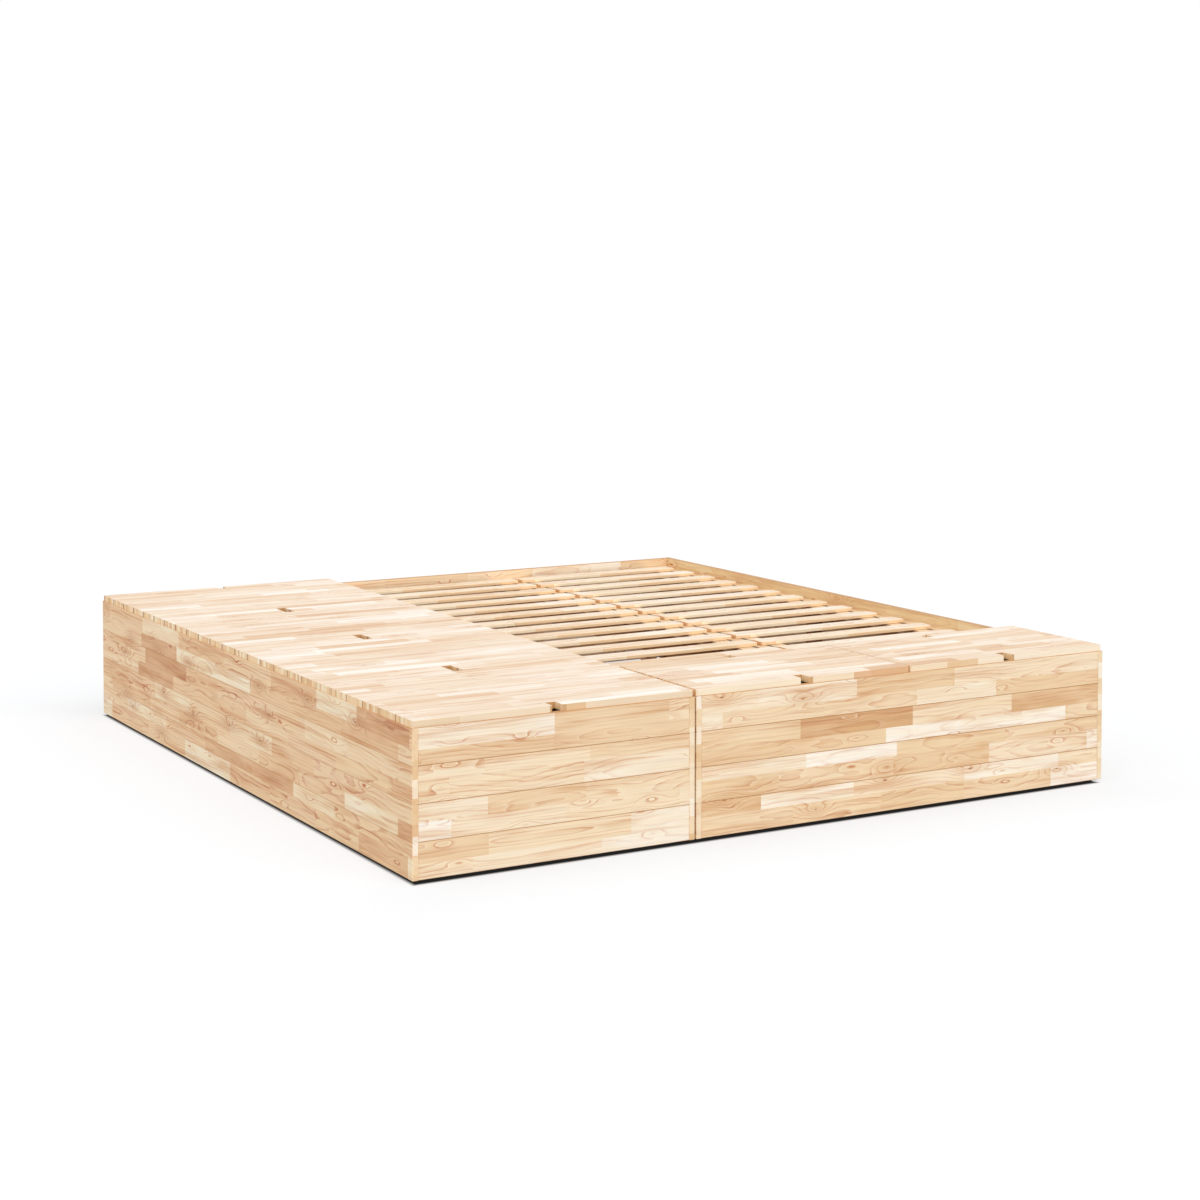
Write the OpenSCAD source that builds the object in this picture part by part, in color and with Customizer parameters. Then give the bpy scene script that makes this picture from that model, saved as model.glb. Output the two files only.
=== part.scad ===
// Tatami platform bed: a long storage box stands beside a bed box that has a second storage box at its foot.
// Millimetres, +Z up. The origin is on the floor, under the middle of the outline.
// x runs from the side box to the far side of the bed, and y from the foot end to the head end.

/* [Boards] */
// Thickness of the boards in panels, ledges and beams
board_t = 18; // [16:0.5:22]
// Height of one board in a panel
board_w = 96.5; // [88:0.5:110]
// Boards stacked in a panel
board_rows = 4; // [4:1:5]
// Easing of the long edges and the ends of panel boards
board_ease = 1.2; // [0.5:0.1:2]
// Glue line between neighbouring boards
board_gap = 0.1; // [0.05:0.05:0.3]
// Length of a tongue
tongue_l = 6; // [4:0.5:8]
// Thickness of a tongue
tongue_t = 5; // [4:0.5:6]
// Clearance round a tongue in its groove
tongue_fit = 0.2; // [0.1:0.05:0.4]

/* [Boxes] */
// Inside width of the side storage box
side_in = 800; // [600:10:1000]
// Inside width of the bed box, which takes a 140 cm mattress
bed_in = 1400; // [1200:10:1800]
// Inside depth of the storage box at the foot
foot_in = 380; // [300:10:500]
// Length of the bay for the mattress
bay_l = 2034; // [1950:2:2200]
// Gap between the side box and the bed box
box_gap = 4; // [2:0.5:8]
// Height of a glide, which lifts the panels off the floor
glide_h = 8; // [5:1:20]
// Radius of a glide
glide_r = 14; // [10:1:18]
// Easing of a glide's lower edge
glide_ease = 1.5; // [0.5:0.5:3]
// Distance from a glide to the panels beside it
glide_inset = 6; // [2:1:10]

/* [Lids] */
// Thickness of the planks in a lid
lid_t = 18; // [16:0.5:22]
// How far the lids stand back from the outer faces of the boxes
lid_inset = 3; // [1:0.5:6]
// Planks in a lid of the side box
side_planks = 6; // [5:1:7]
// Planks in a lid of the foot box
foot_planks = 4; // [3:1:5]
// Gap between neighbouring lids of the side box
side_lid_gap = 1; // [0.5:0.5:4]
// Gap between the two lids of the foot box
foot_lid_gap = 4; // [1:0.5:8]
// Easing of the long edges of a plank
plank_ease = 0.5; // [0.3:0.1:1]
// Easing of the upright edges at the ends of a plank
plank_end_ease = 2.5; // [1:0.5:4]
// Easing of the upright corners of a lid
lid_corner_ease = 4; // [1:0.5:6]
// Width of a finger notch
notch_w = 30; // [24:1:60]
// Depth of a finger notch from the lid's edge
notch_d = 43; // [34:1:60]
// Easing of the mouth of a finger notch
notch_ease = 3; // [1:0.5:5]
// Width of a locating cleat under a lid
cleat_w = 40; // [30:1:60]
// Height of a locating cleat
cleat_h = 20; // [15:1:30]
// Play of the cleats inside their box
cleat_play = 4; // [2:0.5:8]

/* [Inner frame] */
// Side of a square post
post_w = 40; // [30:1:60]
// Width of a floor batten
floor_batten_w = 20; // [15:1:40]
// Height of a floor batten
floor_batten_h = 30; // [20:1:40]
// Thickness of a floor sheet
floor_t = 9; // [6:0.5:12]
// Thickness of a divider
divider_t = 12; // [9:0.5:18]
// Side of a square batten that holds a divider
divider_batten_w = 20; // [15:1:30]
// Clearance of loose sheets inside their box
sheet_play = 0.3; // [0.2:0.1:1]

/* [Slatted base] */
// Depth of the slat tops below the tops of the panels
slat_drop = 26; // [20:1:60]
// Slats in a column
slat_count = 14; // [10:1:16]
// Width of a slat
slat_w = 66; // [50:1:80]
// Thickness of a slat
slat_t = 10; // [8:0.5:18]
// Radius of a slat's upper long edges
slat_edge_r = 1.5; // [1:0.5:3.5]
// Radius of a slat's lower long edges
slat_lower_r = 1; // [0.5:0.5:3.5]
// Radius of a slat's corners, seen from above
slat_corner_r = 14; // [6:1:24]
// Gap from a slat to the side panel
slat_side_gap = 25; // [10:1:40]
// Gap between the two columns of slats
slat_mid_gap = 14; // [8:1:30]
// Gap from the foot box to the first slat
slat_foot_gap = 54; // [40:1:80]
// Gap from the last slat to the head panel
slat_head_gap = 35; // [32:1:80]
// Width of a ledge that the slats lie on
ledge_w = 100; // [60:1:120]
// Width of the cap board in the middle
cap_w = 164; // [100:2:200]
// Width of a batten under a ledge
ledge_batten_w = 30; // [20:1:40]
// Height of a batten under a ledge
ledge_batten_h = 40; // [30:1:60]
// Height of the centre beam under its cap board
beam_h = 96; // [80:1:120]
// Legs under the centre beam, and posts along each side of the bay
leg_count = 3; // [3:1:5]

/* [Straps and fasteners] */
// Width of a strap under the slats
strap_w = 8; // [6:1:20]
// Thickness of a strap
strap_t = 1; // [0.8:0.1:2]
// Middle of a strap from the end of its slats
strap_inset = 20; // [16:1:40]
// Length of strap past the first and the last slat
strap_tail = 25; // [22:1:30]
// Radius of a strap screw's shank
strap_screw_r = 1.8; // [1.5:0.1:2.2]
// Length of a strap screw's shank
strap_screw_l = 14; // [10:1:16]
// Radius of a strap screw's head
strap_head_r = 5.5; // [4:0.5:6]
// Height of a strap screw's head
strap_head_h = 2; // [1:0.5:3]
// Radius of a screw's shank
screw_r = 2.5; // [2:0.1:3]
// Radius of a screw's head
screw_head_r = 4.5; // [4:0.1:5.5]
// Height of a screw's head
screw_head_h = 3; // [2:0.5:4]
// Depth that a screw bites into a panel
screw_bite = 12; // [8:0.5:14]
// Clearance round a screw in its hole
screw_fit = 0.15; // [0.1:0.05:0.3]
// Shift of a post's screws, up for one side of the post and down for the other
screw_shift = 9; // [7:0.5:12]
// Screws through each batten under a ledge
batten_screw_count = 5; // [3:1:8]
// Radius of the bolts that join the two boxes
bolt_r = 4; // [3:0.5:5]
// Clearance round a bolt in its holes
bolt_fit = 0.3; // [0.2:0.05:0.5]
// Distance of the joining bolts from the ends of the boxes
bolt_end = 150; // [100:5:250]
// Thickness of a washer
washer_t = 1.6; // [1:0.1:2.5]
// Length of bolt that stands out of its nut
bolt_tip = 4; // [2:0.5:6]

/* [Hidden] */
$fn = 24;
// How far a cut runs past the faces that it opens
over = 1;
// Lap of two lengths of one turned piece
lap = 0.01;
// Steps in the quarter turns of a slat's edges and of its corners
edge_steps = 4;
corner_steps = 6;

// Colours of the wood, the straps and the metal
panel_colour = "#E9CBA0";
lid_colour = "#F3DFC6";
slat_colour = "#F0DCC0";
inner_colour = "#DDBB8C";
sheet_colour = "#D9C4A0";
strap_colour = "#2B2623";
metal_colour = "#A9ABAD";
glide_colour = "#38342F";

// Outline of the two boxes, from the outer front corner of the side box
panel_h = board_w * board_rows;
side_w = side_in + 2 * board_t;
bed_x = side_w + box_gap;
bay_x0 = bed_x + board_t;
bay_x1 = bay_x0 + bed_in;
total_w = bay_x1 + board_t;
mid_x = (bay_x0 + bay_x1) / 2;
foot_y1 = board_t + foot_in;
bay_y0 = foot_y1 + board_t;
bay_y1 = bay_y0 + bay_l;
total_l = bay_y1 + board_t;

// Heights above the lower edge of the panels
post_top = panel_h - cleat_h - cleat_play;
divider_batten_z = floor_batten_h + floor_t;
slat_z = panel_h - slat_drop - slat_t;
ledge_top = slat_z - strap_t;
ledge_z = ledge_top - board_t;
ledge_batten_z = ledge_z - ledge_batten_h;
beam_z = ledge_z - beam_h;

// Slats and straps
slat_l = (bed_in - 2 * slat_side_gap - slat_mid_gap) / 2;
slat_pitch = (bay_l - slat_foot_gap - slat_head_gap - slat_w) / (slat_count - 1);
slat_y0 = bay_y0 + slat_foot_gap;
slat_y1 = bay_y1 - slat_head_gap;
column_x = [bay_x0 + slat_side_gap, bay_x1 - slat_side_gap - slat_l];
strap_x = [for (x = column_x, s = [strap_inset, slat_l - strap_inset]) x + s];
strap_y = [slat_y0 - strap_tail, slat_y1 + strap_tail];
// The strap screws sit in the middle of the straps' tails
strap_screw_y = [slat_y0 - strap_tail / 2, slat_y1 + strap_tail / 2];

// Lids on the side box, each with its own node
side_lids = 4;
// Joints between lids along the side box
function lid_joint(i) = total_l * i / side_lids;
function lid_y0(i) = i == 0 ? lid_inset : lid_joint(i) + side_lid_gap / 2;
function lid_y1(i) = i == side_lids - 1 ? total_l - lid_inset : lid_joint(i + 1) - side_lid_gap / 2;
// Compartment i of the side box, between dividers
function room_y0(i) = i == 0 ? board_t : lid_joint(i) + divider_t / 2;
function room_y1(i) = i == side_lids - 1 ? total_l - board_t : lid_joint(i + 1) - divider_t / 2;

// Compartments of the foot box
foot_room_x = [[bay_x0, mid_x - divider_t / 2], [mid_x + divider_t / 2, bay_x1]];
foot_lid_x = [[bed_x + lid_inset, mid_x - foot_lid_gap / 2], [mid_x + foot_lid_gap / 2, total_w - lid_inset]];

// Posts: [x, y, side of the panel along x, side of the panel along y]
side_post_list = [
    for (
        x = [[board_t, -1], [side_w - board_t - post_w, 1]],
        y = [[board_t, -1], [total_l - board_t - post_w, 1]]
    )
    [x[0], y[0], x[1], y[1]]
];
foot_post_list = [
    for (x = [[bay_x0, -1], [bay_x1 - post_w, 1]], y = [[board_t, -1], [foot_y1 - post_w, 1]])
    [x[0], y[0], x[1], y[1]]
];
post_step = (bay_l - post_w) / (leg_count - 1);
function end_side(i) = i == 0 ? -1 : i == leg_count - 1 ? 1 : 0;
bay_post_list = [
    for (x = [[bay_x0, -1], [bay_x1 - post_w, 1]], i = [0:leg_count - 1])
    [x[0], bay_y0 + i * post_step, x[1], end_side(i)]
];
leg_list = [for (i = [0:leg_count - 1]) [mid_x - post_w / 2, bay_y0 + i * post_step, 0, end_side(i)]];
// Screws cross a post at two heights, and those along x and y keep out of each other's way
screw_z = [board_w * 0.5, board_w * 1.75];
batten_screw_step = bay_l / batten_screw_count;
batten_screw_y = [for (i = [0:batten_screw_count - 1]) bay_y0 + batten_screw_step * (i + 0.5)];

// Heads, nuts, washers and spacers are in proportion to their bolt
washer_r = bolt_r * 2.2;
nut_r = bolt_r * 1.85;
nut_h = bolt_r * 1.6;
head_h = bolt_r * 1.3;
spacer_r = bolt_r * 3;
bolt_x0 = side_w - board_t - washer_t;
bolt_grip = 2 * (board_t + washer_t) + box_gap;
bolt_y = [bolt_end, total_l - bolt_end];
bolt_z = [board_w * 1.25, board_w * 2.5];

// Puts the assembly on the floor, centred on the origin
module home() {
    translate([-total_w / 2, -total_l / 2, glide_h]) children();
}

// Section of a board: thickness along x, width along y, a tongue on the upper edge and a groove in the lower.
// Boards repeat every w, and one with a tongue stops a glue line short of the next.
module board_section(t, w, ease, groove, tongue) {
    groove_t = tongue_t + 2 * tongue_fit;
    groove_l = tongue_l + tongue_fit;
    top = tongue ? w - board_gap : w;
    lower = groove ? [
        [(t - groove_t) / 2, 0], [(t - groove_t) / 2, groove_l],
        [(t + groove_t) / 2, groove_l], [(t + groove_t) / 2, 0]
    ] : [];
    upper = tongue ? [
        [(t + tongue_t) / 2, top], [(t + tongue_t) / 2, w + tongue_l],
        [(t - tongue_t) / 2, w + tongue_l], [(t - tongue_t) / 2, top]
    ] : [];
    polygon(concat(
        [[ease, 0]], lower, [[t - ease, 0], [t, ease], [t, top - ease], [t - ease, top]], upper,
        [[ease, top], [0, top - ease], [0, ease]]
    ));
}

// Upright prism that eases an upright edge at [x, y] by e
module edge_cut(x, y, e, z, h) {
    translate([x, y, z + h / 2]) rotate([0, 0, 45]) cube([e * sqrt(2), e * sqrt(2), h], center = true);
}

// Panel of stacked boards with its thickness along x and its grain along y
module panel_along_y(x, y0, y1) {
    difference() {
        for (i = [0:board_rows - 1])
            translate([x, y1, i * board_w]) rotate([90, 0, 0]) linear_extrude(y1 - y0)
                board_section(board_t, board_w, board_ease, i > 0, i < board_rows - 1);
        for (cx = [x, x + board_t], cy = [y0, y1])
            edge_cut(cx, cy, board_ease, -over, panel_h + 2 * over);
    }
}

// Panel of stacked boards with its thickness along y and its grain along x
module panel_along_x(x0, x1, y) {
    difference() {
        for (i = [0:board_rows - 1])
            translate([x0, y, i * board_w]) rotate([90, 0, 90]) linear_extrude(x1 - x0)
                board_section(board_t, board_w, board_ease, i > 0, i < board_rows - 1);
        for (cx = [x0, x1], cy = [y, y + board_t])
            edge_cut(cx, cy, board_ease, -over, panel_h + 2 * over);
    }
}

// Screw along +z from its head, or with a clearance its hole
module screw(l, clear = 0) {
    out = clear > 0 ? over : 0;
    translate([0, 0, -out]) cylinder(r = screw_head_r + clear, h = screw_head_h + out);
    translate([0, 0, screw_head_h - lap]) cylinder(r = screw_r + clear, h = l - screw_head_h + clear + lap);
}

// Screws through posts into the panels along x. The shift keeps them off the set along y.
module screws_x(posts, shift, clear = 0) {
    for (p = posts, z = screw_z)
        translate([p[2] < 0 ? p[0] + post_w : p[0], p[1] + post_w / 2, z + shift])
            rotate([0, 90 * p[2], 0]) screw(post_w + screw_bite, clear);
}

// Screws through posts into the panels along y
module screws_y(posts, shift, clear = 0) {
    for (p = posts, z = screw_z)
        if (p[3] != 0)
            translate([p[0] + post_w / 2, p[3] < 0 ? p[1] + post_w : p[1], z + shift])
                rotate([-90 * p[3], 0, 0]) screw(post_w + screw_bite, clear);
}

// Screws through the battens under the ledges into the side panels
module screws_in_battens(clear = 0) {
    for (y = batten_screw_y, s = [[bay_x0 + ledge_batten_w, -1], [bay_x1 - ledge_batten_w, 1]])
        translate([s[0], y, ledge_batten_z + ledge_batten_h / 2])
            rotate([0, 90 * s[1], 0]) screw(ledge_batten_w + screw_bite, clear);
}

// Round bars on the axes of the joining bolts
module on_bolt_axes(x) {
    for (y = bolt_y, z = bolt_z)
        translate([x, y, z]) rotate([0, 90, 0]) children();
}

module bolt_holes() {
    on_bolt_axes(side_w - board_t - over)
        cylinder(r = bolt_r + bolt_fit, h = 2 * (board_t + over) + box_gap);
}

module post(p, h) {
    translate([p[0], p[1], 0]) cube([post_w, post_w, h]);
}

// Middle of a glide along one side of a post. It keeps its distance from the panel on that side.
function glide_at(start, side) =
    side < 0 ? start + glide_inset + glide_r :
    side > 0 ? start + post_w - glide_inset - glide_r : start + post_w / 2;

module glide_under(p) {
    translate([glide_at(p[0], p[2]), glide_at(p[1], p[3]), -glide_h]) {
        cylinder(r1 = glide_r - glide_ease, r2 = glide_r, h = glide_ease);
        translate([0, 0, glide_ease]) cylinder(r = glide_r, h = glide_h - glide_ease);
    }
}

// Room for a post at the corner of a floor sheet
module post_clearance(posts) {
    for (p = posts)
        translate([p[0] - sheet_play, p[1] - sheet_play, 0])
            cube([post_w + 2 * sheet_play, post_w + 2 * sheet_play, post_top]);
}

// Planks of a lid between two corners, with finger notches in the middle of both long edges
module lid_planks(x, y, n) {
    w = (y[1] - y[0]) / n;
    mid = (x[0] + x[1]) / 2;
    cut_z = panel_h - over;
    cut_h = lid_t + 2 * over;
    difference() {
        for (i = [0:n - 1])
            translate([x[0], y[0] + i * w, panel_h + lid_t]) rotate([0, 90, 0]) linear_extrude(x[1] - x[0])
                board_section(lid_t, w, plank_ease, i > 0, i < n - 1);
        for (cx = x, i = [0:n])
            edge_cut(cx, y[0] + i * w, i == 0 || i == n ? lid_corner_ease : plank_end_ease, cut_z, cut_h);
        for (cy = y) {
            translate([mid - notch_w / 2, cy - notch_d, cut_z]) cube([notch_w, 2 * notch_d, cut_h]);
            for (s = [-1, 1])
                edge_cut(mid + s * notch_w / 2, cy, notch_ease, cut_z, cut_h);
        }
    }
}

// Cleats that hang inside a compartment and keep its lid in place
module cleats(x, y) {
    for (cx = [x[0] + cleat_play, x[1] - cleat_play - cleat_w])
        translate([cx, y[0] + cleat_play, panel_h - cleat_h])
            cube([cleat_w, y[1] - y[0] - 2 * cleat_play, cleat_h]);
}

module side_lid(i) {
    color(lid_colour) home() lid_planks([lid_inset, side_w - lid_inset], [lid_y0(i), lid_y1(i)], side_planks);
}

module side_lid_cleats(i) {
    color(inner_colour) home() cleats([board_t, side_w - board_t], [room_y0(i), room_y1(i)]);
}

module foot_lid(i) {
    color(lid_colour) home() lid_planks(foot_lid_x[i], [lid_inset, bay_y0 - lid_inset], foot_planks);
}

module foot_lid_cleats(i) {
    color(inner_colour) home() cleats(foot_room_x[i], [board_t, foot_y1]);
}

module side_outer_panel() {
    color(panel_colour) home() difference() {
        panel_along_y(0, 0, total_l);
        screws_x(side_post_list, screw_shift, screw_fit);
    }
}

module side_inner_panel() {
    color(panel_colour) home() difference() {
        panel_along_y(side_w - board_t, 0, total_l);
        screws_x(side_post_list, screw_shift, screw_fit);
        bolt_holes();
    }
}

module side_end_panel(y) {
    color(panel_colour) home() difference() {
        panel_along_x(board_t, side_w - board_t, y);
        screws_y(side_post_list, -screw_shift, screw_fit);
    }
}

module side_front_panel() {
    side_end_panel(0);
}

module side_back_panel() {
    side_end_panel(total_l - board_t);
}

module side_dividers() {
    color(sheet_colour) home()
        for (i = [1:side_lids - 1])
            translate([board_t + sheet_play, lid_joint(i) - divider_t / 2, floor_batten_h])
                cube([side_in - 2 * sheet_play, divider_t, panel_h - floor_batten_h]);
}

module side_posts() {
    color(inner_colour) home() difference() {
        for (p = side_post_list)
            post(p, post_top);
        screws_x(side_post_list, screw_shift, screw_fit);
        screws_y(side_post_list, -screw_shift, screw_fit);
    }
}

module side_divider_battens() {
    color(inner_colour) home()
        for (i = [1:side_lids - 1], x = [board_t, side_w - board_t - divider_batten_w])
            translate([x, lid_joint(i) + divider_t / 2, divider_batten_z])
                cube([divider_batten_w, divider_batten_w, post_top - divider_batten_z]);
}

module side_floor_battens() {
    color(inner_colour) home()
        for (x = [board_t, side_w - board_t - floor_batten_w])
            translate([x, board_t + post_w, 0])
                cube([floor_batten_w, total_l - 2 * (board_t + post_w), floor_batten_h]);
}

module side_floor() {
    color(sheet_colour) home() difference() {
        for (i = [0:side_lids - 1])
            translate([board_t + sheet_play, room_y0(i) + sheet_play, floor_batten_h])
                cube([side_in - 2 * sheet_play, room_y1(i) - room_y0(i) - 2 * sheet_play, floor_t]);
        post_clearance(side_post_list);
    }
}

module bed_side_panel(x) {
    color(panel_colour) home() difference() {
        panel_along_y(x, 0, total_l);
        screws_x(foot_post_list, screw_shift, screw_fit);
        screws_x(bay_post_list, -screw_shift, screw_fit);
        screws_in_battens(screw_fit);
        bolt_holes();
    }
}

module bed_left_panel() {
    bed_side_panel(bed_x);
}

module bed_right_panel() {
    bed_side_panel(total_w - board_t);
}

module foot_front_panel() {
    color(panel_colour) home() difference() {
        panel_along_x(bay_x0, bay_x1, 0);
        screws_y(foot_post_list, -screw_shift, screw_fit);
    }
}

module foot_rear_panel() {
    color(panel_colour) home() difference() {
        panel_along_x(bay_x0, bay_x1, foot_y1);
        screws_y(foot_post_list, -screw_shift, screw_fit);
        screws_y(bay_post_list, screw_shift, screw_fit);
    }
}

module head_panel() {
    color(panel_colour) home() difference() {
        panel_along_x(bay_x0, bay_x1, bay_y1);
        screws_y(bay_post_list, screw_shift, screw_fit);
    }
}

module foot_divider() {
    color(sheet_colour) home()
        translate([mid_x - divider_t / 2, board_t + sheet_play, floor_batten_h])
            cube([divider_t, foot_in - 2 * sheet_play, panel_h - floor_batten_h]);
}

module foot_posts() {
    color(inner_colour) home() difference() {
        for (p = foot_post_list)
            post(p, post_top);
        screws_x(foot_post_list, screw_shift, screw_fit);
        screws_y(foot_post_list, -screw_shift, screw_fit);
    }
}

module foot_divider_battens() {
    color(inner_colour) home()
        for (y = [board_t, foot_y1 - divider_batten_w])
            translate([mid_x + divider_t / 2, y, divider_batten_z])
                cube([divider_batten_w, divider_batten_w, post_top - divider_batten_z]);
}

module foot_floor_battens() {
    color(inner_colour) home()
        for (y = [board_t, foot_y1 - floor_batten_w])
            translate([bay_x0 + post_w, y, 0])
                cube([bed_in - 2 * post_w, floor_batten_w, floor_batten_h]);
}

module foot_floor() {
    color(sheet_colour) home() difference() {
        for (x = foot_room_x)
            translate([x[0] + sheet_play, board_t + sheet_play, floor_batten_h])
                cube([x[1] - x[0] - 2 * sheet_play, foot_in - 2 * sheet_play, floor_t]);
        post_clearance(foot_post_list);
    }
}

module bay_posts() {
    color(inner_colour) home() difference() {
        for (p = bay_post_list)
            post(p, ledge_batten_z);
        screws_x(bay_post_list, -screw_shift, screw_fit);
        screws_y(bay_post_list, screw_shift, screw_fit);
    }
}

module ledge_battens() {
    color(inner_colour) home() difference() {
        for (x = [bay_x0, bay_x1 - ledge_batten_w])
            translate([x, bay_y0, ledge_batten_z]) cube([ledge_batten_w, bay_l, ledge_batten_h]);
        screws_in_battens(screw_fit);
    }
}

module strap_screw_holes() {
    for (x = strap_x, y = strap_screw_y)
        translate([x, y, ledge_top + strap_t - strap_screw_l - screw_fit])
            cylinder(r = strap_screw_r + screw_fit, h = strap_screw_l + screw_fit + over);
}

module slat_ledges() {
    color(inner_colour) home() difference() {
        for (x = [bay_x0, bay_x1 - ledge_w])
            translate([x, bay_y0, ledge_z]) cube([ledge_w, bay_l, board_t]);
        strap_screw_holes();
    }
}

module centre_cap() {
    color(inner_colour) home() difference() {
        translate([mid_x - cap_w / 2, bay_y0, ledge_z]) cube([cap_w, bay_l, board_t]);
        strap_screw_holes();
    }
}

module centre_beam() {
    color(inner_colour) home()
        translate([mid_x - board_t / 2, bay_y0, beam_z]) cube([board_t, bay_l, beam_h]);
}

module centre_legs() {
    color(inner_colour) home()
        for (p = leg_list)
            post(p, beam_z);
}

// Points of a rectangle with round corners, a quarter turn of steps at each: radius r above and low_r below
function round_rectangle(w, h, r, low_r, steps) = [
    for (
        c = [
            [w - r, h - r, r, 0], [r, h - r, r, 90],
            [low_r, low_r, low_r, 180], [w - low_r, low_r, low_r, 270]
        ],
        i = [0:steps]
    )
    [c[0] + c[2] * cos(c[3] + 90 * i / steps), c[1] + c[2] * sin(c[3] + 90 * i / steps)]
];

module slat() {
    intersection() {
        rotate([90, 0, 90]) linear_extrude(slat_l)
            polygon(round_rectangle(slat_w, slat_t, slat_edge_r, slat_lower_r, edge_steps));
        linear_extrude(slat_t)
            polygon(round_rectangle(slat_l, slat_w, slat_corner_r, slat_corner_r, corner_steps));
    }
}

module slat_column(x) {
    color(slat_colour) home()
        for (i = [0:slat_count - 1])
            translate([x, slat_y0 + i * slat_pitch, slat_z]) slat();
}

module slats_left() {
    slat_column(column_x[0]);
}

module slats_right() {
    slat_column(column_x[1]);
}

module slat_straps() {
    color(strap_colour) home() difference() {
        for (x = strap_x)
            translate([x - strap_w / 2, strap_y[0], ledge_top])
                cube([strap_w, strap_y[1] - strap_y[0], strap_t]);
        strap_screw_holes();
    }
}

module strap_screws() {
    color(metal_colour) home()
        for (x = strap_x, y = strap_screw_y)
            translate([x, y, ledge_top + strap_t]) {
                cylinder(r = strap_head_r, h = strap_head_h);
                translate([0, 0, -strap_screw_l]) cylinder(r = strap_screw_r, h = strap_screw_l + lap);
            }
}

module batten_screws() {
    color(metal_colour) home() screws_in_battens();
}

module side_post_screws() {
    color(metal_colour) home() {
        screws_x(side_post_list, screw_shift);
        screws_y(side_post_list, -screw_shift);
    }
}

module bed_post_screws() {
    color(metal_colour) home() {
        screws_x(foot_post_list, screw_shift);
        screws_y(foot_post_list, -screw_shift);
        screws_x(bay_post_list, -screw_shift);
        screws_y(bay_post_list, screw_shift);
    }
}

module joining_bolts() {
    color(metal_colour) home() {
        on_bolt_axes(bolt_x0 - head_h) cylinder(r = nut_r, h = head_h, $fn = 6);
        on_bolt_axes(bolt_x0 - lap) cylinder(r = bolt_r, h = bolt_grip + nut_h + bolt_tip);
    }
}

module joining_washers() {
    color(metal_colour) home()
        for (x = [bolt_x0, bolt_x0 + bolt_grip - washer_t])
            on_bolt_axes(x) difference() {
                cylinder(r = washer_r, h = washer_t);
                translate([0, 0, -over]) cylinder(r = bolt_r + bolt_fit, h = washer_t + 2 * over);
            }
}

module joining_nuts() {
    color(metal_colour) home() on_bolt_axes(bolt_x0 + bolt_grip) difference() {
        cylinder(r = nut_r, h = nut_h, $fn = 6);
        translate([0, 0, -over]) cylinder(r = bolt_r + screw_fit, h = nut_h + 2 * over);
    }
}

module joining_spacers() {
    color(glide_colour) home() on_bolt_axes(side_w) difference() {
        cylinder(r = spacer_r, h = box_gap);
        translate([0, 0, -over]) cylinder(r = bolt_r + bolt_fit, h = box_gap + 2 * over);
    }
}

module side_glides() {
    color(glide_colour) home()
        for (p = side_post_list)
            glide_under(p);
}

module bed_glides() {
    color(glide_colour) home()
        for (p = concat(foot_post_list, bay_post_list, leg_list))
            glide_under(p);
}

side_outer_panel();
side_inner_panel();
side_front_panel();
side_back_panel();
side_dividers();
side_posts();
side_divider_battens();
side_floor_battens();
side_floor();
bed_left_panel();
bed_right_panel();
foot_front_panel();
foot_rear_panel();
head_panel();
foot_divider();
foot_posts();
foot_divider_battens();
foot_floor_battens();
foot_floor();
bay_posts();
ledge_battens();
slat_ledges();
centre_cap();
centre_beam();
centre_legs();
slats_left();
slats_right();
slat_straps();
strap_screws();
batten_screws();
side_post_screws();
bed_post_screws();
joining_bolts();
joining_washers();
joining_nuts();
joining_spacers();
side_glides();
bed_glides();
side_lid(0);  // side_lid_1
side_lid(1);  // side_lid_2
side_lid(2);  // side_lid_3
side_lid(side_lids - 1);  // side_lid_4
foot_lid(0);  // foot_lid_left
foot_lid(1);  // foot_lid_right
side_lid_cleats(0);  // side_lid_1_cleats
side_lid_cleats(1);  // side_lid_2_cleats
side_lid_cleats(2);  // side_lid_3_cleats
side_lid_cleats(side_lids - 1);  // side_lid_4_cleats
foot_lid_cleats(0);  // foot_lid_left_cleats
foot_lid_cleats(1);  // foot_lid_right_cleats
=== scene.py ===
import bpy
import math
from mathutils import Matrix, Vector


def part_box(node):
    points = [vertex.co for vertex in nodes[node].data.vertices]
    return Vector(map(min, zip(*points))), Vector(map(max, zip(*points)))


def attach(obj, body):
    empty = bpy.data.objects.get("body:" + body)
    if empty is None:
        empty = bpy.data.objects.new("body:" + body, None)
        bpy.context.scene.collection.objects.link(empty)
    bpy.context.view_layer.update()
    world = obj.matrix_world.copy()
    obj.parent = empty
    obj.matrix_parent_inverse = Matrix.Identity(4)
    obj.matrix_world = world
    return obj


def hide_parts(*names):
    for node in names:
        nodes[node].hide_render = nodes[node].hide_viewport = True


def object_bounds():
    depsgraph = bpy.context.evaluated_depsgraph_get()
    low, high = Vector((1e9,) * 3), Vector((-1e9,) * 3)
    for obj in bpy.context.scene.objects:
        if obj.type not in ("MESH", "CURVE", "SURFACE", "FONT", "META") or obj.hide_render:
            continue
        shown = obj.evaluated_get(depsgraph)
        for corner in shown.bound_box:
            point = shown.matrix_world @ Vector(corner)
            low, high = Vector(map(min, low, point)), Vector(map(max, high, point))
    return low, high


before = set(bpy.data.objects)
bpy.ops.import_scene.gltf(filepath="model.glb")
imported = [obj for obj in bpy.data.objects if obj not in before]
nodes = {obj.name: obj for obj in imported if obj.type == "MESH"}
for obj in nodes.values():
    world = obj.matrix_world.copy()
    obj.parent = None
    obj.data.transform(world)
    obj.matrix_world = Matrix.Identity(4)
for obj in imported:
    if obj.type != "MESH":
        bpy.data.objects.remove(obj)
cadLow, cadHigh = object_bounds()
bpy.ops.object.select_all(action="DESELECT")
scene = bpy.context.scene
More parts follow.
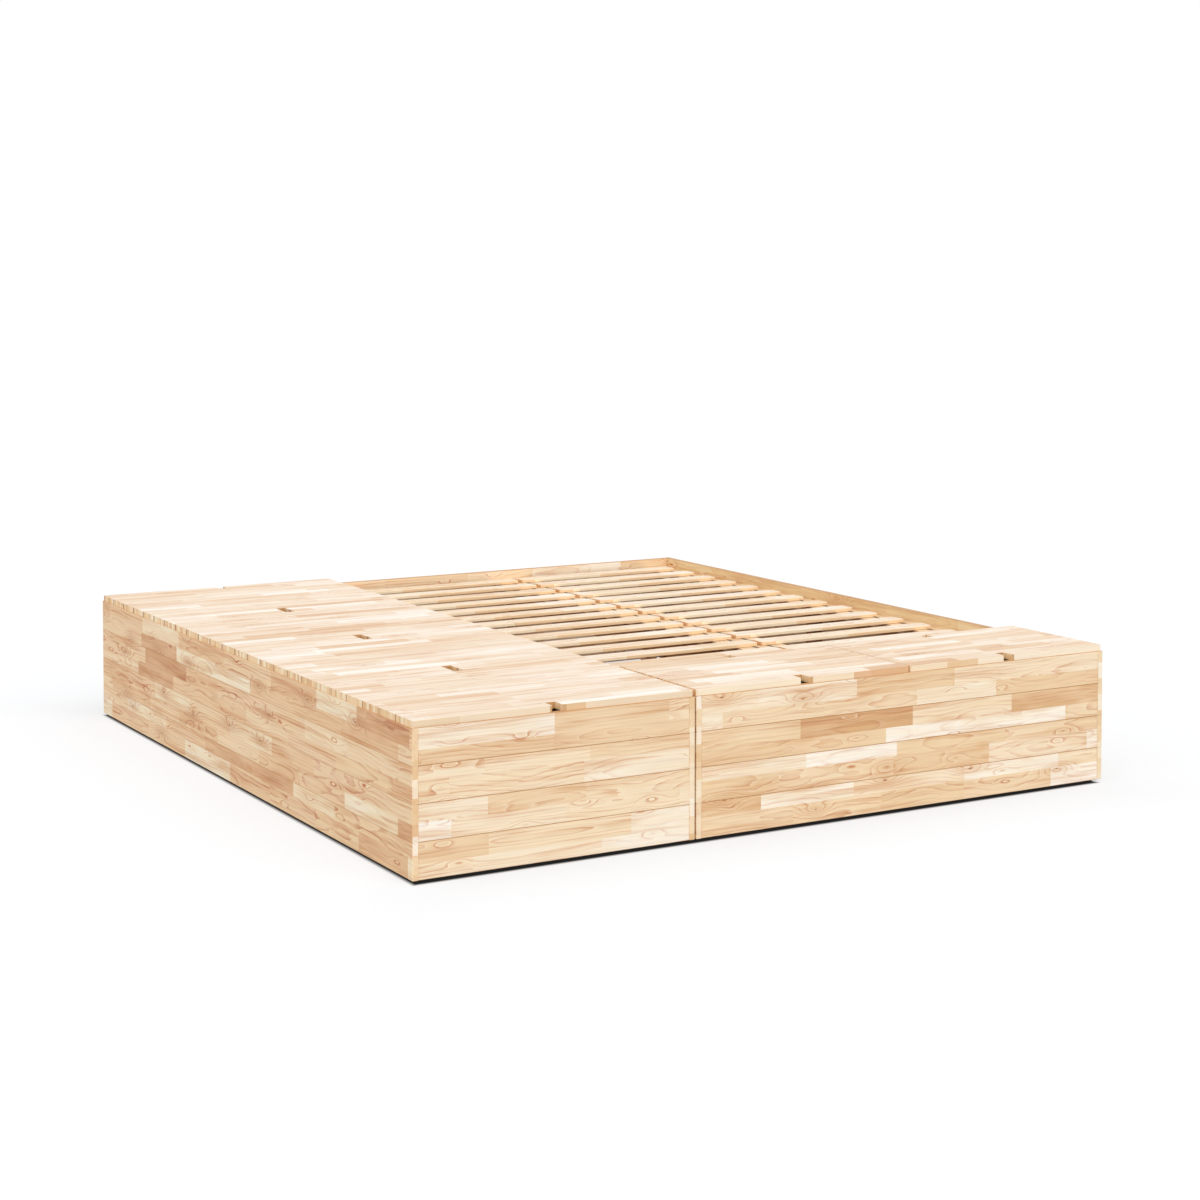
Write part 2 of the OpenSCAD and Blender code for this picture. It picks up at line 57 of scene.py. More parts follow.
scene.view_settings.view_transform = "Standard"
print("frame loaded:", len(nodes), "nodes")


def linear(hexCode, alpha=1.0):
    # sRGB hex, as a colour picker shows it, to the linear values that a socket takes
    parts = [int(hexCode[i:i + 2], 16) / 255 for i in (1, 3, 5)]
    return [p / 12.92 if p <= 0.04045 else ((p + 0.055) / 1.055) ** 2.4 for p in parts] + [alpha]


def addNode(tree, kind, feeds=None, stops=None, **settings):
    # feeds holds a value, an output or a whole node for each socket, stops the colours of a ramp
    node = tree.nodes.new(kind)
    for name, value in settings.items():
        setattr(node, name, value)
    for socket, value in (feeds or {}).items():
        if isinstance(value, bpy.types.Node):
            value = value.outputs[0]
        if isinstance(value, bpy.types.NodeSocket):
            tree.links.new(value, node.inputs[socket])
        else:
            node.inputs[socket].default_value = value
    if stops:
        ramp = node.color_ramp
        while len(ramp.elements) < len(stops):
            ramp.elements.new(1.0)
        for element, (place, hexCode) in zip(ramp.elements, stops):
            element.position = place
            element.color = linear(hexCode)
    return node


def compute(tree, operation, *values, **settings):
    return addNode(tree, "ShaderNodeMath", dict(enumerate(values)), operation=operation, **settings)


def mapRange(tree, value, given=(0.0, 1.0), wanted=(0.0, 1.0), **settings):
    # takes a value from one range over to another
    feeds = {0: value, 1: given[0], 2: given[1], 3: wanted[0], 4: wanted[1]}
    return addNode(tree, "ShaderNodeMapRange", feeds, **settings)


def mixColours(tree, share, first, second, **settings):
    # the first colour where share is 0, and the second where it is 1
    feeds = {0: share, 6: first, 7: second}
    return addNode(tree, "ShaderNodeMix", feeds, data_type="RGBA", **settings).outputs[2]


def newMaterial(name):
    material = bpy.data.materials.new(name)
    material.use_nodes = True
    tree = material.node_tree
    tree.nodes.clear()
    shader = addNode(tree, "ShaderNodeBsdfPrincipled")
    addNode(tree, "ShaderNodeOutputMaterial", {0: shader})
    return material, tree, shader


def seenRays(tree):
    # 1 where the camera sees a surface, also in a gloss or through glass, and 0 where it only throws light
    rays = addNode(tree, "ShaderNodeLightPath")
    seen = compute(tree, "MAXIMUM", rays.outputs["Is Camera Ray"], rays.outputs["Is Glossy Ray"])
    return compute(tree, "MAXIMUM", seen, rays.outputs["Is Transmission Ray"])


def facingAxes(tree, coords):
    # how much a surface looks along each axis
    facing = addNode(tree, "ShaderNodeVectorMath", {0: coords.outputs["Normal"]}, operation="ABSOLUTE")
    return addNode(tree, "ShaderNodeSeparateXYZ", {0: facing}).outputs


def offMiddle(tree, share):
    # how far a share of 0 to 1 is from the middle
    share = compute(tree, "SUBTRACT", share, 0.5)
    return compute(tree, "ABSOLUTE", share)


def waveScale(spacing):
    # the scale at which a wave texture's bands or rings lie this far apart
    return math.tau / 20 / spacing


def finishSurface(tree, shader, colour, rough, height, depth, reliefShare=0.4):
    # the colour, roughness and relief that every material of the bed ends with
    bump = addNode(tree, "ShaderNodeBump", {"Strength": reliefShare, "Distance": depth, "Height": height})
    tree.links.new(colour, shader.inputs["Base Color"])
    tree.links.new(rough.outputs[0], shader.inputs["Roughness"])
    tree.links.new(bump.outputs[0], shader.inputs["Normal"])


def dress(material, *names):
    for name in names:
        for slot in nodes[name].material_slots:
            slot.material = material


# Camera, fitted to the corners of the two boxes
cameraSettings = {
    "place": (-3.574, -6.401, 1.570),  # metres
    "turn": -29.96,  # degrees, to the right
    "tilt": 2.57,  # degrees, down
    "lens": 69.03,  # mm
    "sensor": 36,  # mm
    "shift": -0.2,  # a shift lens keeps the uprights upright
}
cameraData = bpy.data.cameras.new("camera")
cameraData.lens = cameraSettings["lens"]
cameraData.sensor_width = cameraSettings["sensor"]
cameraData.shift_y = cameraSettings["shift"]
cameraObject = bpy.data.objects.new("camera", cameraData)
cameraObject.location = cameraSettings["place"]
cameraObject.rotation_euler = (
    math.radians(90 - cameraSettings["tilt"]), 0, math.radians(cameraSettings["turn"]))
scene.collection.objects.link(cameraObject)
scene.camera = cameraObject

# Light: an even white room, a very wide lamp from the front and a weaker one from the left
lightSettings = {
    "white": "#FFFFFF",
    "room": 0.60,  # brightness of the room as the wood feels it
    "lamps": {  # where each comes from, and W per square metre
        "frontLamp": ((0.15, -0.78, 0.60), 1.58),
        "leftLamp": ((-0.80, -0.10, 0.58), 0.95),
    },
    "spread": 70,  # degrees
}
for lampName, (lampFrom, power) in lightSettings["lamps"].items():
    lampData = bpy.data.lights.new(lampName, "SUN")
    lampData.energy = power
    lampData.angle = math.radians(lightSettings["spread"])
    lampObject = bpy.data.objects.new(lampName, lampData)
    lampObject.rotation_euler = Vector(lampFrom).to_track_quat("Z", "Y").to_euler()
    scene.collection.objects.link(lampObject)

world = bpy.data.worlds.new("room")
scene.world = world
world.use_nodes = True
tree = world.node_tree
tree.nodes.clear()
strength = mapRange(tree, seenRays(tree), wanted=(lightSettings["room"], 1.0))
sky = addNode(tree, "ShaderNodeBackground", {0: linear(lightSettings["white"]), 1: strength})
addNode(tree, "ShaderNodeOutputWorld", {0: sky})

# Floor: white paper that keeps a light shadow of its own, and painted shadow: near black along the rim of the
# bed, with a faint brown painted glow deep under it, and a wide faint shade in front
floorSettings = {
    "size": 60.0,  # metres
    "white": "#F0F2F6",  # a little cool, against the warm light that the wood throws on it
    "bounce": 0.55,  # share of its light that the floor gives back to the wood
    "under": "#B0682F",  # the light under the bed, which the wood has turned brown, painted in as the paper's colour there, for its bounce and its faint glow
    "bounceUnder": 0.75,
    "shadowShare": 0.36,  # how much of what the camera sees is lit paper
    "lift": 0.67,  # and how much is plain white
    "rimLight": "#FFFFFF",  # colour of the painted glow along the rim of the bed
    "paintedShadowGlow": (0.018, 0.030),  # painted shadow: the faint glow left along the rim, which shows near black, and further under the bed
    "seenUnder": "#D2AE88",  # the paper between the slats, in a warm tint that paints in the brown light under the bed, and the share of it that the camera sees lit
    "underShare": 0.42,
    "panel": 0.018,  # metres, thickness of the panels, which the white of the paper doesn't pass
    "deepFrom": (-0.006, -0.030),  # metres in from the panels, where the deep part, with its brown painted glow and tinted paper, begins and is reached
    "reach": {"left": -0.0105, "right": -0.030, "front": -0.002, "back": -0.012},  # metres that the painted shadow along the rim reaches out past the bed
    "softEdge": 0.020,
    "paintedShade": 0.105,  # the wide faint painted shadow in front of the bed, and how fast it thins out, per metre
    "paintedShadeFall": -5.5,
    "paintedShadeTurn": 0.25,  # metres to either side of a corner, over which it goes
}
bpy.ops.mesh.primitive_plane_add(size=floorSettings["size"], location=(0, 0, 0))
floor = bpy.context.object
floor.name = "floor"
material, tree, shader = newMaterial("White paper")
seen = seenRays(tree)
coords = addNode(tree, "ShaderNodeTexCoord")
reach = floorSettings["reach"]
middle = Vector((reach["right"] - reach["left"], reach["back"] - reach["front"], 0.0)) / 2
halfSize = cadHigh + Vector((reach["right"] + reach["left"], reach["back"] + reach["front"], 0.0)) / 2
place = addNode(tree, "ShaderNodeVectorMath", {0: coords.outputs["Object"], 1: middle}, operation="SUBTRACT")
past = addNode(tree, "ShaderNodeVectorMath", {0: place}, operation="ABSOLUTE")
past = addNode(tree, "ShaderNodeVectorMath", {0: past, 1: halfSize}, operation="SUBTRACT")
past = addNode(tree, "ShaderNodeSeparateXYZ", {0: past})
nearest = compute(tree, "MAXIMUM", past.outputs[0], past.outputs[1])
# painted shadow: openFloor is 0 along the rim and under the bed, where the camera sees the paper near black
openFloor = mapRange(tree, nearest, (0.0, floorSettings["softEdge"]), interpolation_type="SMOOTHSTEP")
inside = addNode(tree, "ShaderNodeVectorMath", {0: coords.outputs["Object"]}, operation="ABSOLUTE")
innerFace = cadHigh - Vector([floorSettings["panel"]] * 3)
inside = addNode(tree, "ShaderNodeVectorMath", {0: inside, 1: innerFace}, operation="SUBTRACT")
inside = addNode(tree, "ShaderNodeSeparateXYZ", {0: inside})
inside = compute(tree, "MAXIMUM", inside.outputs[0], inside.outputs[1])
outside = compute(tree, "GREATER_THAN", inside, 0.0)
openFloor = compute(tree, "MULTIPLY", openFloor, outside)
# painted shadow: a wide faint shade on the paper in front of the bed, which turns away round the corners
atEnds = compute(tree, "SUBTRACT", past.outputs[1], past.outputs[0])
turn = floorSettings["paintedShadeTurn"]
atEnds = mapRange(tree, atEnds, (-turn, turn), (0.0, floorSettings["paintedShade"]), interpolation_type="SMOOTHSTEP")
paintedShade = compute(tree, "MAXIMUM", past.outputs[1], 0.0)
paintedShade = compute(tree, "MULTIPLY", paintedShade, floorSettings["paintedShadeFall"])
paintedShade = compute(tree, "EXPONENT", paintedShade)
paintedShade = compute(tree, "MULTIPLY", paintedShade, atEnds, use_clamp=True)
clear = compute(tree, "SUBTRACT", 1.0, paintedShade)
# deep under the bed the painted glow turns brown, and the camera sees the paper in a warm tint
deep = mapRange(tree, inside, floorSettings["deepFrom"])
paintedShadowGlow = mapRange(tree, deep, wanted=floorSettings["paintedShadowGlow"])
paintedGlowColour = mixColours(tree, deep, linear(floorSettings["rimLight"]), linear(floorSettings["under"]))
lift = mapRange(tree, openFloor, wanted=(paintedShadowGlow, floorSettings["lift"]))
lift = compute(tree, "MULTIPLY", lift, clear)
lift = compute(tree, "MULTIPLY", lift, seen)
openShare = compute(tree, "MULTIPLY", openFloor, floorSettings["shadowShare"])
openShare = compute(tree, "MULTIPLY", openShare, clear)
openShare = compute(tree, "MULTIPLY_ADD", deep, floorSettings["underShare"], openShare)
bounce = mapRange(tree, openFloor, wanted=(floorSettings["bounceUnder"], floorSettings["bounce"]))
share = mapRange(tree, seen, wanted=(bounce, openShare))
paper = mixColours(tree, seen, linear(floorSettings["under"]), linear(floorSettings["seenUnder"]))
paper = mixColours(tree, openFloor, paper, linear(floorSettings["white"]))
paper = addNode(tree, "ShaderNodeVectorMath", {0: paper, "Scale": share}, operation="SCALE")
tree.links.new(paper.outputs[0], shader.inputs["Base Color"])
tree.links.new(lift.outputs[0], shader.inputs["Emission Strength"])
tree.links.new(paintedGlowColour, shader.inputs["Emission Color"])
shader.inputs["Roughness"].default_value = 1.0
shader.inputs["Specular IOR Level"].default_value = 0.0
floor.data.materials.append(material)
print("camera, light and floor made")

# The wood: larch staves, finger-jointed end to end and glued edge to edge, planed and oiled. Sapwood staves
# are cream, heartwood staves tan, and thin lines of late wood run along them, in arches and round the knots.
woodLook = {
    "tones": [
        (0.00, "#D8AB7A"), (0.07, "#E0B689"), (0.12, "#E9C79C"), (0.30, "#EDD0A6"), (0.45, "#F0D5B0"),
        (0.60, "#F2D8B0"), (0.80, "#F5E0C2"), (0.86, "#F7E7CC"), (0.90, "#FBEFDA"), (1.00, "#FDF3E4"),
    ],
    "seedStep": 13.7,  # boards by which one piece's dice are away from another's
    "noiseSpan": (0.25, 0.75),  # most values of a noise lie between these
    "drift": 0.10,  # how far the tone wanders within a stave, where sapwood meets heartwood
    "driftScale": (5.0, 30.0, 40.0),  # its patches per metre along and across, and from stave to stave
    "grain": "#D0802F",  # late wood, laid over a stave's own colour
    "grainShare": 0.74,
    "early": "#FFF3DC",  # the pale wood that follows each dark line
    "earlyShare": 0.40,
    "paleShare": 0.35,  # of the lines on the palest staves, whose rings hardly show
    "paleFrom": (0.5, 0.9),  # places among the tones where they begin to fade, and are faintest
    "lineShare": (0.30, 1.0),  # how strong the lines of a stave are, from the faintest to the clearest
    "lateWood": (0.60, 0.98),  # share of a ring at which its dark line begins and is darkest
    "earlyWood": (0.30, 0.04),
    "ringSpacing": 0.0085,  # metres. Real rings are 1 to 4 mm: about every third one is drawn
    "pithAside": 0.040,  # metres that the pith lies to the side of a board's middle, at most
    "pithDepth": (0.016, 0.080),  # metres behind the stave
    "bend": 0.024,  # metres that the pith strays along a stave, which draws the arches
    "bendLength": 0.36,
    "bendSpan": (0.2, 0.8),
    "bendShift": 90.0,  # bends by which one stave's part of the log is away from another's
    "taper": 0.1,  # how much the rings change along the log
    "wander": 3.0,  # how far a ring's line strays by itself
    "wanderDetail": (2.0, 2.0, 0.5),
    "fibres": (6.0, 240.0),  # fine fibres per metre, along and across
    "fibreTone": (0.93, 1.05),  # how they darken and lighten the wood
    "streaks": (3.2, 62.0),  # slow streaks per metre, along and across
    "streak": "#DDAE7C",
    "streakFrom": (0.48, 0.72),
    "streakShare": 0.55,
    "fadeFrom": (0.38, 0.60),  # between streaks the lines fade to this share
    "fadeShare": 0.35,
    "bumpSize": (0.190, 0.050),  # metres between the places for bumps in the rings, along and across
    "bumpShare": 0.30,  # of these places that have one, which shows as a lens-shaped loop
    "bumpRise": 9.0,  # how far it pushes the rings
    "bumpLines": 0.85,  # how much stronger its lines are
    "knot": "#A8703E",
    "knotHeart": (0.995, 0.960),  # nearness at which the dark heart begins, of the smallest and the largest
    "knotHalo": "#D6A470",
    "haloShare": 0.45,
    "knotSize": (0.30, 0.100),  # metres between the places for knots
    "knotShare": 0.26,
    "knotRise": 19.0,
    "knotLines": 0.60,
    "spotPlay": 0.85,  # how far a knot or bump strays from its place
    "spotFall": -30.0,  # how fast it ends
    "spotShift": (3.1, 5.3, 0.0),  # moves them from piece to piece
    "bumpShift": 0.37,
    "groove": "#BC874E",  # painted shade in the V-grooves of the joints between boards
    "grooveWidth": 0.0015,
    "grooveShare": 0.85,
    "endTones": [(0.00, "#E3BC8C"), (0.45, "#EFD3AC"), (0.70, "#F8E8CE"), (1.00, "#FDF3E4")],
    "endBar": 0.048,  # metres, width of the pieces that show on end grain
    "endShare": 0.75,
    "endFrom": 0.8,  # faces that look this much along the grain are end grain
    "seam": None,  # pitch, first edge and width of joints that show on end grain alone
    "seamTone": "#9A5614",
    "edges": None,  # start, length and steps of colour along the faces that look across the grain
    "edgeFrom": (0.35, 0.75),
    "edgeShare": 0.9,
    "rough": (0.42, 0.58),
    "roughSpan": (0.3, 0.7),
    "relief": 0.0004,  # metres, by which late wood and fibres stand proud after planing
    "reliefShare": 0.25,
    "gloss": 1.5,  # IOR of the oil
    "parting": (0.40, 0.60),  # height in a board at which its two rows of staves meet
    "rowShift": 50.0,  # staves by which one row is shifted from the next, at most
    "firstShift": 0.0,
    "lengthPlay": 0.75,
    "toneByPlace": 0.0,  # 1 gives the staves at one place in every row the same tone
}


def staveCells(tree, axes, grid, look):
    # which board, which row of staves in it and which stave a point is in, with random values for each
    u, v, _ = axes
    boards = compute(tree, "MULTIPLY_ADD", v, 1 / grid["pitch"], -grid["start"] / grid["pitch"])
    board = compute(tree, "FLOOR", boards)
    inBoard = compute(tree, "FRACT", boards)
    boardKey = compute(tree, "ADD", board, grid["seed"] * look["seedStep"])
    boardDice = addNode(tree, "ShaderNodeTexWhiteNoise", {"W": boardKey}, noise_dimensions="1D")
    parting = mapRange(tree, boardDice, wanted=look["parting"])
    upper = compute(tree, "GREATER_THAN", inBoard, parting)
    row = compute(tree, "MULTIPLY_ADD", upper, 0.5 * (grid["rows"] - 1), boardKey)
    rowDice = addNode(tree, "ShaderNodeTexWhiteNoise", {"W": row}, noise_dimensions="1D")
    shifted = compute(tree, "MULTIPLY_ADD", rowDice, look["rowShift"], look["firstShift"])
    cell = compute(tree, "MULTIPLY_ADD", u, 1 / grid["length"], shifted)
    stave = addNode(tree, "ShaderNodeTexVoronoi", {"W": cell, "Scale": 1.0, "Randomness": look["lengthPlay"]},
                    voronoi_dimensions="1D")
    placeRolls = addNode(tree, "ShaderNodeSeparateColor", {0: stave.outputs["Color"]})
    key = addNode(tree, "ShaderNodeCombineXYZ", {0: placeRolls, 1: rowDice, 2: float(grid["seed"])})
    dice = addNode(tree, "ShaderNodeTexWhiteNoise", {"Vector": key}, noise_dimensions="3D")
    rolls = addNode(tree, "ShaderNodeSeparateColor", {0: dice.outputs["Color"]})
    toneRoll = addNode(tree, "ShaderNodeMix", {0: look["toneByPlace"], 2: rolls, 3: placeRolls.outputs[1]})
    driftPlace = addNode(tree, "ShaderNodeCombineXYZ", {0: u, 1: v, 2: dice})
    driftPlace = addNode(tree, "ShaderNodeVectorMath", {0: driftPlace, 1: look["driftScale"]},
                         operation="MULTIPLY")
    drift = addNode(tree, "ShaderNodeTexNoise", {"Vector": driftPlace, "Scale": 1.0, "Detail": 2.0})
    drift = mapRange(tree, drift, look["noiseSpan"], (-look["drift"], look["drift"]))
    drifted = compute(tree, "ADD", toneRoll, drift)
    tone = addNode(tree, "ShaderNodeValToRGB", {0: drifted}, stops=look["tones"])
    pale = mapRange(tree, toneRoll, look["paleFrom"], (1.0, look["paleShare"]))
    return inBoard, dice, rolls, tone, pale


def scattered(tree, axes, look, kind, seed):
    # knots or bumps strewn over a piece: how near a point is to one, and a random value for each
    lengthwise, crosswise = look[kind + "Size"]
    place = addNode(tree, "ShaderNodeCombineXYZ", {0: axes[0], 1: axes[1]})
    place = addNode(tree, "ShaderNodeVectorMath", {
        0: place, 1: (1 / lengthwise, 1 / crosswise, 1.0), 2: [seed * shift for shift in look["spotShift"]]},
        operation="MULTIPLY_ADD")
    cells = addNode(tree, "ShaderNodeTexVoronoi", {
        "Vector": place, "Scale": 1.0, "Randomness": look["spotPlay"]}, voronoi_dimensions="2D")
    cellRolls = addNode(tree, "ShaderNodeSeparateColor", {0: cells.outputs["Color"]})
    here = compute(tree, "LESS_THAN", cellRolls, look[kind + "Share"])
    swell = compute(tree, "POWER", cells, 2.0)
    swell = compute(tree, "MULTIPLY", swell, look["spotFall"])
    swell = compute(tree, "EXPONENT", swell)
    swell = compute(tree, "MULTIPLY", swell, here)
    return swell, cellRolls.outputs[1]


def growthRings(tree, axes, grid, look, inBoard, dice, rolls, pale, knots, bumps, fade):
    # rings round a pith that lies somewhere behind the stave and strays along it
    u, _, w = axes
    pitch = grid["pitch"]
    along = compute(tree, "MULTIPLY", dice, look["bendShift"])
    along = compute(tree, "MULTIPLY_ADD", u, 1 / look["bendLength"], along)
    stray = addNode(tree, "ShaderNodeTexNoise", {"W": along, "Scale": 1.0, "Detail": 1.0},
                    noise_dimensions="1D")
    bend = mapRange(tree, stray, look["bendSpan"], (-look["bend"] / 2, look["bend"] / 2))
    centre = -0.5 * pitch
    side = mapRange(tree, rolls.outputs[1], wanted=(centre - look["pithAside"], centre + look["pithAside"]))
    ringAcross = compute(tree, "MULTIPLY_ADD", inBoard, pitch, side)
    depth = mapRange(tree, rolls.outputs[2], wanted=[depth - grid["middle"] for depth in look["pithDepth"]])
    ringDepth = compute(tree, "ADD", w, depth)
    ringDepth = compute(tree, "ADD", ringDepth, bend)
    ringAlong = compute(tree, "MULTIPLY", along, look["taper"] * look["bendLength"])
    ringPlace = addNode(tree, "ShaderNodeCombineXYZ", {0: ringAlong, 1: ringAcross, 2: ringDepth})
    push = compute(tree, "MULTIPLY", knots, look["knotRise"])
    push = compute(tree, "MULTIPLY_ADD", bumps, look["bumpRise"], push)
    detail, detailScale, detailRough = look["wanderDetail"]
    rings = addNode(tree, "ShaderNodeTexWave", {
        "Vector": ringPlace, "Scale": waveScale(look["ringSpacing"]), "Distortion": look["wander"],
        "Detail": detail, "Detail Scale": detailScale, "Detail Roughness": detailRough, "Phase Offset": push},
        wave_type="RINGS", rings_direction="X", wave_profile="SAW")
    strongly = mapRange(tree, dice, wanted=look["lineShare"])
    strongly = compute(tree, "MULTIPLY", strongly, pale)
    strongly = compute(tree, "MULTIPLY", strongly, fade)
    for spots, kind in ((knots, "knot"), (bumps, "bump")):
        strongly = compute(tree, "MULTIPLY_ADD", spots, look[kind + "Lines"], strongly)
    lines = []
    for wood, share in (("lateWood", "grainShare"), ("earlyWood", "earlyShare")):
        line = mapRange(tree, rings.outputs["Fac"], look[wood], (0.0, look[share]),
                        interpolation_type="SMOOTHSTEP")
        lines.append(compute(tree, "MULTIPLY", line, strongly, use_clamp=True))
    return lines


def stavedWood(name, grid, changes=None):
    # grid: the axes along and across the grain, the piece's middle on the third, the boards' pitch and first
    # edge, rows of staves in a board, the staves' mean length and a seed
    look = dict(woodLook, **(changes or {}))
    grid = dict(grid, third=({"X", "Y", "Z"} - {grid["along"], grid["across"]}).pop())
    material, tree, shader = newMaterial(name)
    coords = addNode(tree, "ShaderNodeTexCoord")
    place = coords.outputs["Object"]
    split = addNode(tree, "ShaderNodeSeparateXYZ", {0: place})
    axes = [split.outputs[grid[a]] for a in ("along", "across", "third")]
    inBoard, dice, rolls, tone, pale = staveCells(tree, axes, grid, look)
    knots, knotRoll = scattered(tree, axes, look, "knot", grid["seed"])
    heart = mapRange(tree, knotRoll, wanted=look["knotHeart"])
    heart = mapRange(tree, knots, (heart, 1.0), interpolation_type="SMOOTHSTEP")
    bumps = scattered(tree, axes, look, "bump", grid["seed"] + look["bumpShift"])[0]

    # fibres and slow streaks, which strengthen and weaken the lines of late wood
    noises = []
    for lengthwise, crosswise in (look["fibres"], look["streaks"]):
        stretch = [lengthwise if axis == grid["along"] else crosswise for axis in "XYZ"]
        stretched = addNode(tree, "ShaderNodeVectorMath", {0: place, 1: stretch}, operation="MULTIPLY")
        noises.append(addNode(tree, "ShaderNodeTexNoise", {"Vector": stretched, "Scale": 1.0, "Detail": 3.0}))
    fibres, streaks = noises
    fade = mapRange(tree, streaks, look["fadeFrom"], (look["fadeShare"], 1.0))
    late, early = growthRings(tree, axes, grid, look, inBoard, dice, rolls, pale, knots, bumps, fade)
    fibreTone = mapRange(tree, fibres, look["noiseSpan"], look["fibreTone"])
    streakTone = mapRange(tree, streaks, look["streakFrom"], (0.0, look["streakShare"]))
    halo = compute(tree, "MULTIPLY", knots, look["haloShare"])
    colour = addNode(tree, "ShaderNodeVectorMath", {0: tone, "Scale": fibreTone}, operation="SCALE")
    colour = colour.outputs[0]
    for share, over, how in (
            (streakTone, "streak", "MULTIPLY"), (early, "early", "MIX"), (late, "grain", "MULTIPLY"),
            (halo, "knotHalo", "MIX"), (heart, "knot", "MIX")):
        colour = mixColours(tree, share, colour, linear(look[over]), blend_type=how)

    # joints between boards, with painted shade in their grooves, and end grain
    offCentre = offMiddle(tree, inBoard)
    edge = 0.5 - look["grooveWidth"] / grid["pitch"]
    # painted shade: a darker band along each joint, where its groove lies in shade
    groove = mapRange(tree, offCentre, (edge, (edge + 0.5) / 2), (0.0, look["grooveShare"]))
    colour = mixColours(tree, groove, colour, linear(look["groove"]))
    facing = facingAxes(tree, coords)
    endGrain = compute(tree, "GREATER_THAN", facing[grid["along"]], look["endFrom"])
    bar = compute(tree, "MULTIPLY_ADD", axes[1], 1 / look["endBar"], grid["seed"] + 0.5)
    bar = compute(tree, "FLOOR", bar)
    bar = addNode(tree, "ShaderNodeTexWhiteNoise", {"W": bar}, noise_dimensions="1D")
    barTone = addNode(tree, "ShaderNodeValToRGB", {0: bar}, stops=look["endTones"])
    endShare = compute(tree, "MULTIPLY", endGrain, look["endShare"])
    colour = mixColours(tree, endShare, colour, barTone)
    if look["seam"]:
        seamPitch, seamStart, seamWidth = look["seam"]
        seams = compute(tree, "MULTIPLY_ADD", axes[1], 1 / seamPitch, 0.5 - seamStart / seamPitch)
        seams = compute(tree, "FRACT", seams)
        seams = offMiddle(tree, seams)
        seams = mapRange(tree, seams, (0.5 * seamWidth / seamPitch, 0.2 * seamWidth / seamPitch))
        seams = compute(tree, "MULTIPLY", seams, endGrain)
        colour = mixColours(tree, seams, colour, linear(look["seamTone"]))
    # tones along the faces that look across the grain: on the slats these are kept pale, painted light for
    # their shaded fronts
    if look["edges"]:
        start, span, steps = look["edges"]
        down = compute(tree, "MULTIPLY_ADD", axes[0], 1 / span, -start / span)
        edgeTone = addNode(tree, "ShaderNodeValToRGB", {0: down}, stops=steps)
        edgeTone.color_ramp.interpolation = "CONSTANT"
        edgeTone = addNode(tree, "ShaderNodeVectorMath", {0: edgeTone, "Scale": fibreTone}, operation="SCALE")
        onEdge = mapRange(tree, facing[grid["across"]], look["edgeFrom"], (0.0, look["edgeShare"]))
        colour = mixColours(tree, onEdge, colour, edgeTone)

    rough = mapRange(tree, streaks, look["roughSpan"], look["rough"])
    height = compute(tree, "ADD", late, fibres)
    finishSurface(tree, shader, colour, rough, height, look["relief"], look["reliefShare"])
    shader.inputs["IOR"].default_value = look["gloss"]
    return material


def middleOf(name, axis):
    low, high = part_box(name)
    return (low["XYZ".index(axis)] + high["XYZ".index(axis)]) / 2


# Panels: four boards high, two rows of staves in each
panelSettings = {
    "boards": 4,
    "staveLength": 0.34,
    "seeds": {
        "side_outer_panel": 60, "side_inner_panel": 4, "side_front_panel": 5, "side_back_panel": 6,
        "bed_left_panel": 7, "bed_right_panel": 8, "foot_front_panel": 9, "foot_rear_panel": 10,
        "head_panel": 11,
    },
    "alongY": ["side_outer_panel", "side_inner_panel", "bed_left_panel", "bed_right_panel"],
    "looks": {
        "side_outer_panel": {  # more heartwood than the rest
            "tones": [
                (0.00, "#D59F6A"), (0.07, "#E1B080"), (0.14, "#EBC191"), (0.35, "#F0CA9B"), (0.50, "#F3D0A7"),
                (0.62, "#F4D3A4"), (0.84, "#F7D9B0"), (0.92, "#F9E0B8"), (0.95, "#FCE9C4"), (1.00, "#FEEED0"),
            ],
            "grain": "#CC7A2E",
            "grainShare": 0.98,
            "early": "#FFE9C4",
            "streak": "#D9A56F",
            "grooveShare": 0.45,
            "knotShare": 0.42,
            "knotHalo": "#C68C58",
        },
        "side_front_panel": {  # longer staves, matched in colour
            "tones": [
                (0.00, "#E8C79E"), (0.25, "#F0D6B0"), (0.60, "#F4DEBC"), (0.85, "#F7E7CE"), (1.00, "#FBF3E6"),
            ],
            "bumpShare": 0.48,
        },
        "bed_right_panel": {  # the bay shows its inner face, which lies in the bay's shade: more golden tones paint in the warm light that the wood around throws on it
            "tones": [(0.00, "#E4C593"), (0.30, "#EAD0A1"), (0.70, "#EED8AD"), (1.00, "#F3E3C4")],
        },
    },
}
for name, seed in panelSettings["seeds"].items():
    low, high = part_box(name)
    along, third = ("Y", "X") if name in panelSettings["alongY"] else ("X", "Y")
    material = stavedWood("Oiled larch " + name, {
        "along": along, "across": "Z", "middle": middleOf(name, third), "start": low.z, "rows": 2,
        "pitch": (high.z - low.z) / panelSettings["boards"], "length": panelSettings["staveLength"],
        "seed": seed,
    }, panelSettings["looks"].get(name))
    dress(material, name)
print("panels finished")

